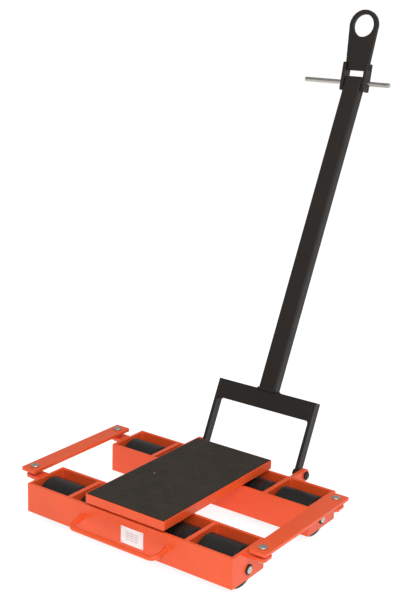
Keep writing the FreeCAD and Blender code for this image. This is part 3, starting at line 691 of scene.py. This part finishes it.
def bogie_welds(bogie):
    """Fillet welds inside the box's corners, beside its dividers and along its brackets."""
    bm = bmesh.new()
    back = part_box(f"{bogie}_bogie_back_wall")
    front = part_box(f"{bogie}_bogie_front_wall")
    inner_y = (front[1].y, back[0].y)
    low, high = back[0].z + 3 * MM, back[1].z - 1.5 * MM
    seams = []
    for box in solids(f"{bogie}_bogie_end_walls"):
        seams.append(box[1].x if box[0].x < 0 else box[0].x)
    for box in solids(f"{bogie}_bogie_dividers"):
        seams += [box[0].x, box[1].x]
    for x in seams:
        for y in inner_y:
            bead(bm, [Vector((x, y, low)), Vector((x, y, high))], WELD["box"])
    end_x = (back[0].x, back[1].x)
    for box in solids(f"{bogie}_link_brackets"):
        x = end_x[0] if box[0].x < 0 else end_x[1]
        for z in (box[0].z, box[1].z):
            bead(bm, [Vector((x, box[0].y, z)), Vector((x, box[1].y, z))], WELD["bracket"])
    return bm


def ear_welds(bm):
    """Upright beads on both faces of each drawbar ear, where it meets the rear wall."""
    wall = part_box("rear_bogie_back_wall")[1].y
    for box in solids("drawbar_ears"):
        for x in (box[0].x, box[1].x):
            ends = [Vector((x, wall, box[0].z)), Vector((x, wall, box[1].z - 1 * MM))]
            bead(bm, ends, WELD["ear"])


def handle_welds(bm):
    """A collar of weld round each foot of the carrying handle."""
    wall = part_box("front_bogie_front_wall")[0].y
    feet = [v.co for v in NODES["carry_handle"].data.vertices if abs(v.co.y - wall) < WALL_TOLERANCE]
    for side in (-1, 1):
        foot = [p for p in feet if p.x * side > 0]
        low = Vector([min(p[a] for p in foot) for a in range(3)])
        high = Vector([max(p[a] for p in foot) for a in range(3)])
        half = (high - low) / 2
        collar = ellipse_path((low + high) / 2, X, Z, half.x + FOOT_MARGIN, half.z + FOOT_MARGIN)
        bead(bm, collar, WELD["handle"], closed=True)


def make_bogie_welds():
    for bogie in BOGIES:
        bm = bogie_welds(bogie)
        if bogie == "rear":
            ear_welds(bm)
        else:
            handle_welds(bm)
        make_piece(f"{bogie}_bogie_welds", bm, [FINISH["orange_paint"]], f"{bogie}_bogie")


# ---------------------------------------------------------------- welds of the drawbar and eye
def joint_place(body):
    """Where the joint that a body moves on lies."""
    return Vector(next(j for j in frame["joints"] if j["child"] == body)["pos_m"])


def eye_mount():
    return next(m for m in RECORD["mounts"] if m["name"] == "towing_eye")


def drawbar_frame():
    """A frame at the drawbar's pivot, with Z along the tube."""
    pivot = joint_place("drawbar")
    rod = middle(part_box("grip_rod"))
    return standing(pivot, Vector((0, rod.y - pivot.y, rod.z - pivot.z)))


def eye_frame():
    """A frame at the grip rod, with Z towards the middle of the eye."""
    rod = joint_place("eye")
    return standing(rod, Vector(eye_mount()["pos_m"]) - rod)


YOKE_END_SHARE = 0.995


def drawbar_welds():
    """Beads where the legs meet the crossbar, under its ends, and round the foot of the tube."""
    place = drawbar_frame()
    bar_low, bar_high = box_in(place, "yoke_crossbar")
    leg_low, leg_high = box_in(place, "yoke_legs")
    tube_low, tube_high = box_in(place, "drawbar_tube")
    bm = bmesh.new()

    def spot(x, y, z):
        return place @ Vector((x, y, z))

    for x in (bar_low.x, bar_high.x):
        for y in (leg_low.y, leg_high.y):
            ends = [spot(x, y, bar_low.z + 3 * MM), spot(x, y, bar_high.z - 3 * MM)]
            bead(bm, ends, WELD["yoke"])
        corner = x * YOKE_END_SHARE
        ends = [spot(corner, leg_low.y + 2 * MM, bar_low.z), spot(corner, leg_high.y - 2 * MM, bar_low.z)]
        bead(bm, ends, WELD["yoke_end"])
    z = bar_high.z
    loop = [spot(tube_low.x, tube_low.y, z), spot(tube_high.x, tube_low.y, z),
            spot(tube_high.x, tube_high.y, z), spot(tube_low.x, tube_high.y, z)]
    bead(bm, loop, WELD["tube"], closed=True)
    make_piece("drawbar_welds", bm, [FINISH["black_paint"]], "drawbar")


def eye_welds():
    """Beads down both edges of the eye's tongue, on its two faces."""
    place = eye_frame()
    plate = box_in(place, "towing_eye")
    cheeks = box_in(place, "eye_cheeks")
    bm = bmesh.new()
    thick = eye_mount()["dims"]["length_mm"] * MM
    cheek_solids = sorted(solids("eye_cheeks"), key=lambda b: b[0].x)
    for x in (cheek_solids[0][1].x, cheek_solids[1][0].x):
        for y in (-thick / 2, thick / 2):
            ends = [Vector((x, y, plate[0].z + 2 * MM)), Vector((x, y, cheeks[1].z - 3 * MM))]
            bead(bm, [place @ end for end in ends], WELD["eye"])
    make_piece("eye_welds", bm, [FINISH["black_paint"]], "eye")


# ---------------------------------------------------------------- fasteners
# Shank radii and head heights, the same as on the frame's own fasteners.
SHANK = {"link": 7 * MM, "pivot": 7 * MM, "axle": 10 * MM, "kingpin": 15 * MM}
HEAD_HEIGHT = {"link": 3.5 * MM, "pivot": 6 * MM, "axle": 5 * MM}
HEAD_EDGE = 0.4 * MM
THREAD_PITCH = 1.75 * MM
THREAD_LAP = 0.4 * MM
CORE = 0.8
# An axle's bright face, and the sunk rim and groove round it, given the dark seal rubber as a painted shadow of
# the gap round the axle.
AXLE_FACE = 9.4 * MM
AXLE_EDGE = 0.8 * MM
SHADE_RIM_GAP = 0.05 * MM


def link_fasteners():
    """Low round-headed bolts, threaded tails and chamfered nuts at the links' four ends."""
    for bogie in BOGIES:
        bolts, nuts = bmesh.new(), bmesh.new()
        for bolt, nut in zip(solids(f"{bogie}_link_bolts"), solids(f"{bogie}_link_nuts")):
            centre = middle(bolt)
            place = Matrix.Translation((centre.x, centre.y, 0))
            head = (bolt[1].x - bolt[0].x) / 2
            top = bolt[1].z
            seat = top - HEAD_HEIGHT["link"]
            shank = SHANK["link"]
            low_round_head = [(shank, nut[0].z), (shank, seat),
                              (head - HEAD_EDGE, seat), (head, seat + HEAD_EDGE),
                              (head, top - 1.8 * MM), (head * 0.93, top - 0.9 * MM),
                              (head * 0.78, top - 0.3 * MM), (head * 0.5, top),
                              (1.2 * MM, top), (0.3 * MM, top - 0.5 * MM)]
            solid_turning(bolts, low_round_head, place)
            screw_thread(bolts, shank, THREAD_PITCH, bolt[0].z, nut[0].z + THREAD_LAP, place)
            core = [(shank * CORE, bolt[0].z), (shank * CORE, nut[0].z)]
            solid_turning(bolts, core, place, THIN_TURNING_STEPS)
            chamfered_hexagon(nuts, (nut[1].x - nut[0].x) / 2, nut[0].z, nut[1].z, place, bore=shank)
        replace_node(f"{bogie}_link_bolts", bolts, f"{bogie}_bogie", "zinc_steel")
        replace_node(f"{bogie}_link_nuts", nuts, f"{bogie}_bogie", "zinc_steel")


def pivot_fasteners():
    """The two bolts that the drawbar folds on, seen from outside the ears and inside the yoke."""
    bolts, nuts = bmesh.new(), bmesh.new()
    for bolt, nut in zip(solids("drawbar_pivot_bolts"), solids("drawbar_pivot_nuts")):
        side = 1 if bolt[0].x > 0 else -1
        centre = middle(bolt)
        place = standing(Vector((0, centre.y, centre.z)), X * side, Y)
        reach = sorted((abs(bolt[0].x), abs(bolt[1].x)))
        nut_reach = sorted((abs(nut[0].x), abs(nut[1].x)))
        head = max((nut[1].y - nut[0].y) / 2 / math.cos(math.pi / 6), (nut[1].z - nut[0].z) / 2)
        shank = SHANK["pivot"]
        head_base = reach[1] - HEAD_HEIGHT["pivot"]
        chamfered_hexagon(bolts, head, head_base, reach[1], place, ends=(False, True))
        tail = [(shank * CORE, reach[0]), (shank, reach[0] + 1.6 * MM), (shank, head_base)]
        solid_turning(bolts, tail, place, THIN_TURNING_STEPS)
        chamfered_hexagon(nuts, head, nut_reach[0], nut_reach[1], place, bore=shank)
    replace_node("drawbar_pivot_bolts", bolts, "rear_bogie", "black_paint")
    replace_node("drawbar_pivot_nuts", nuts, "rear_bogie", "black_paint")


def axle_fasteners():
    """Axles with a bright face in a groove and rim painted dark as the shadow of the gap round them, and their
    chamfered nuts at the middle.
    """
    for bogie in BOGIES:
        axles, nuts = bmesh.new(), bmesh.new()
        for axle, nut in zip(solids(f"{bogie}_axles"), solids(f"{bogie}_axle_nuts")):
            side = 1 if axle[0].x > 0 else -1
            centre = middle(axle)
            place = standing(Vector((0, centre.y, centre.z)), X * side, Y)
            reach = sorted((abs(axle[0].x), abs(axle[1].x)))
            nut_reach = sorted((abs(nut[0].x), abs(nut[1].x)))
            shank = SHANK["axle"]
            head = (axle[1].z - axle[0].z) / 2
            top = reach[1]
            base = top - HEAD_HEIGHT["axle"]
            centre_drilled = [(shank, reach[0]), (shank, base), (AXLE_FACE, base),
                              (AXLE_FACE, top - AXLE_EDGE), (AXLE_FACE - AXLE_EDGE, top),
                              (2.6 * MM, top), (0.6 * MM, top - 1.3 * MM)]
            solid_turning(axles, centre_drilled, place)
            # Painted shade: this rim takes the dark seal rubber (material 1) in place of the shadow in the gap
            # round the axle's end.
            painted_shade_rim = [(AXLE_FACE + SHADE_RIM_GAP, base), (head, base), (head, top - 1.8 * MM),
                   (head - 0.6 * MM, top - 1.2 * MM), (AXLE_FACE + 1.3 * MM, top - 1.2 * MM),
                   (AXLE_FACE + 0.9 * MM, top - 3.2 * MM), (AXLE_FACE + SHADE_RIM_GAP, top - 3.2 * MM)]
            turn_profile(axles, painted_shade_rim, place, material=1)
            chamfered_hexagon(nuts, (nut[1].y - nut[0].y) / 2, nut_reach[0], nut_reach[1], place, bore=shank)
        # SEAL here is the painted shade of the rim round each axle face.
        replace_node(f"{bogie}_axles", axles, f"{bogie}_bogie", "zinc_steel", [SEAL])
        replace_node(f"{bogie}_axle_nuts", nuts, f"{bogie}_bogie", "zinc_steel")


def kingpin_fasteners():
    """The kingpins, with chamfered ends that show from below, and their big nuts."""
    pins, nuts = bmesh.new(), bmesh.new()
    for pin, nut in zip(solids("kingpins"), solids("kingpin_nuts")):
        centre = middle(pin)
        place = Matrix.Translation((centre.x, centre.y, 0))
        shank = SHANK["kingpin"]
        chamfered = [(shank - 2 * MM, pin[0].z), (shank, pin[0].z + 2 * MM), (shank, pin[1].z)]
        solid_turning(pins, chamfered, place)
        chamfered_hexagon(nuts, (nut[1].x - nut[0].x) / 2, nut[0].z, nut[1].z, place, bore=shank)
    replace_node("kingpins", pins, "deck", "zinc_steel")
    replace_node("kingpin_nuts", nuts, "deck", "zinc_steel")


# ---------------------------------------------------------------- sealed bearings
BEARING_FIT = 0.06 * MM


def sealed_bearings():
    """Ball bearings with ground races and a moulded rubber seal set a little below them."""
    for bogie in BOGIES:
        for hand in SIDES:
            for bay in BAYS:
                name = f"{bogie}_{hand}_{bay}"
                bm = bmesh.new()
                for ring in solids(f"{name}_bearings"):
                    place = standing(Vector((ring[0].x, middle(ring).y, middle(ring).z)), X, Y)
                    one_bearing(bm, place, (ring[1].z - ring[0].z) / 2, ring[1].x - ring[0].x)
                replace_node(f"{name}_bearings", bm, f"{name}_roller", "bearing_steel", [SEAL])


def one_bearing(bm, place, outer, width):
    """An outer race, an inner race and the seal between them, with lips on both faces."""
    bore = SHANK["axle"] + BEARING_FIT
    race, edge, sunk = 3.4 * MM, 0.5 * MM, 0.7 * MM
    outer_in, inner_out = outer - race, bore + race
    turn_profile(bm, [(outer - edge, 0), (outer, edge), (outer, width - edge), (outer - edge, width),
                      (outer_in, width), (outer_in, 0)], place)
    turn_profile(bm, [(bore + edge, 0), (bore, edge), (bore, width - edge), (bore + edge, width),
                      (inner_out, width), (inner_out, 0)], place)
    band = (outer_in - inner_out) / 3
    lip = [(outer_in, sunk), (outer_in - band * 0.5, sunk * 0.3), (outer_in - band, sunk * 1.5),
           (inner_out + band, sunk * 1.5), (inner_out + band * 0.4, sunk * 0.4), (inner_out, sunk)]
    far = [(radius, width - depth) for radius, depth in reversed(lip)]
    turn_profile(bm, lip + far, place, material=1)


# ---------------------------------------------------------------- rating plate
FIELD_COLUMNS, FIELD_ROWS = 3, 4
# The plate's bare margin, and how much of a cell its field fills, as shares.
PLATE_MARGIN = 0.22
FIELD_WIDTH, FIELD_HEIGHT = 0.82, 0.55
FIELD_THICKNESS = 0.2 * MM
FIELD_EDGE = 0.08 * MM
RIVET_STEPS = 28
RIVET_ANGLES = (0.0, 0.4, 0.8, 1.15, 1.4)


def plate_fields():
    """Blank raised fields in rows on the rating plate."""
    low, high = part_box("rating_plate")
    bm = bmesh.new()
    width, height = high.x - low.x, high.z - low.z
    cell_width = width * (1 - 2 * PLATE_MARGIN) / FIELD_COLUMNS
    cell_height = height * (1 - 2 * PLATE_MARGIN) / FIELD_ROWS
    size = Matrix.Diagonal((cell_width * FIELD_WIDTH, FIELD_THICKNESS, cell_height * FIELD_HEIGHT, 1))
    for column in range(FIELD_COLUMNS):
        for row in range(FIELD_ROWS):
            x = low.x + width * PLATE_MARGIN + cell_width * column
            z = low.z + height * PLATE_MARGIN + cell_height * row
            place = Matrix.Translation((x + cell_width / 2, low.y, z + cell_height / 2))
            bmesh.ops.create_cube(bm, size=1.0, matrix=place @ size)
    bmesh.ops.bevel(bm, geom=list(bm.edges), offset=FIELD_EDGE, segments=2, affect="EDGES")
    make_piece("rating_plate_fields", bm, [FIELD_GREY], "front_bogie")


def plate_rivets():
    """Domed rivets at the rating plate's corners."""
    rivets = bmesh.new()
    for box in solids("rating_plate_rivets"):
        radius, rise = (box[1].x - box[0].x) / 2, box[1].y - box[0].y
        place = standing(Vector((middle(box).x, box[1].y, middle(box).z)), -Y)
        dome = [(radius * math.cos(angle), rise * math.sin(angle)) for angle in RIVET_ANGLES]
        solid_turning(rivets, dome, place, RIVET_STEPS)
    replace_node("rating_plate_rivets", rivets, "front_bogie", "zinc_steel")


make_camera()
make_floor()
make_light()
dress_nodes()
make_bogie_welds()
drawbar_welds()
eye_welds()
link_fasteners()
pivot_fasteners()
axle_fasteners()
kingpin_fasteners()
sealed_bearings()
plate_fields()
plate_rivets()
